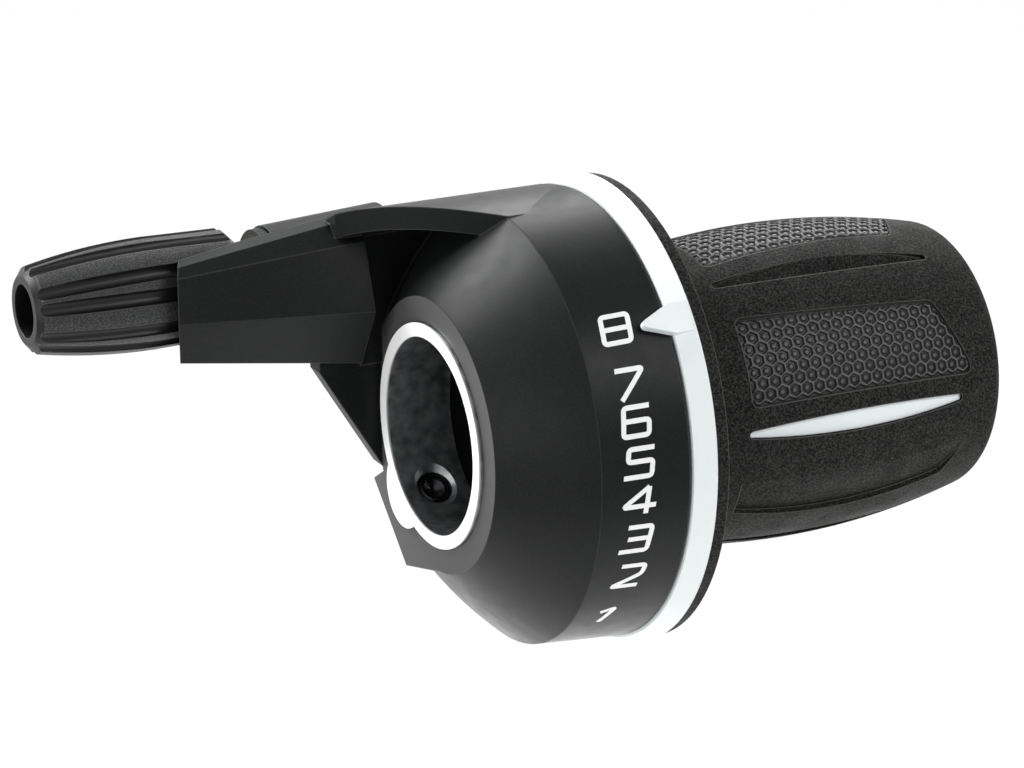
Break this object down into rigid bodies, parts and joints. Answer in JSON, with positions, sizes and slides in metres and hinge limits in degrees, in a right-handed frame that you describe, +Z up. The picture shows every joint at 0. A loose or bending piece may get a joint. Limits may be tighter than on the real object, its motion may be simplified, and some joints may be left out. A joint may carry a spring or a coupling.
{
  "type": "twist grip shifter",
  "caption": "Bicycle twist grip gear shifter with a handlebar clamp, numbered housing, indicator ring, rubber grip and cable arm with barrel adjuster.",
  "frame": {"origin": "centre of the handlebar bore at the clamp's mouth", "axes": "+X along the handlebar towards the grip's end, +Z up, -Y towards the side with the gear numbers"},
  "size_m": [0.1049, 0.0536, 0.0534],
  "materials": {
    "housing_plastic": "satin black",
    "clamp_alloy": "bright",
    "screw_steel": "black oxide",
    "bush_brass": "turned",
    "guide_plastic": "natural acetal",
    "spring_steel": "spring steel",
    "washer_plastic": "nylon",
    "spool_plastic": "grey acetal",
    "core_plastic": "satin pale blue-grey",
    "grip_rubber": "matte charcoal",
    "barrel_plastic": "fine textured black"
  },
  "bodies": {
    "housing": {"housing": "housing_plastic", "clamp_ring": "clamp_alloy", "clamp_screw": "screw_steel", "adjuster_bush": "bush_brass", "cable_guide": "guide_plastic", "detent_spring": "spring_steel", "thrust_washer": "washer_plastic", "retaining_clip": "spring_steel"},
    "grip": {"cable_spool": "spool_plastic", "index_ring": "spool_plastic", "grip_core": "core_plastic", "grip_rubber": "grip_rubber"},
    "hatch": {"cable_hatch": "housing_plastic"},
    "adjuster_carrier": {"adjuster_spring": "spring_steel"},
    "adjuster": {"barrel_adjuster": "barrel_plastic", "adjuster_screw": "bush_brass"}
  },
  "joints": [
    {"name": "grip_twist", "type": "hinge", "parent": "housing", "child": "grip", "pos_m": [0, 0, 0], "axis": [1, 0, 0], "range_deg": [0, 80.2], "deforming": ["detent_spring"]},
    {"name": "adjuster_advance", "type": "slide", "parent": "housing", "child": "adjuster_carrier", "axis": [-1, 0, 0], "range_m": [0, 0.003], "deforming": ["adjuster_spring"]},
    {"name": "adjuster_turn", "type": "hinge", "parent": "adjuster_carrier", "child": "adjuster", "pos_m": [0, 0.0195, 0.0146], "axis": [-1, 0, 0], "range_deg": [0, 1083]},
    {"name": "hatch_lift", "type": "slide", "parent": "housing", "child": "hatch", "axis": [0, 0.5446, 0.8387], "range_m": [0, 0.012]}
  ],
  "couplings": [
    {"joint": "adjuster_turn", "follows": "adjuster_advance", "rad_per_m": 6283.2}
  ]
}
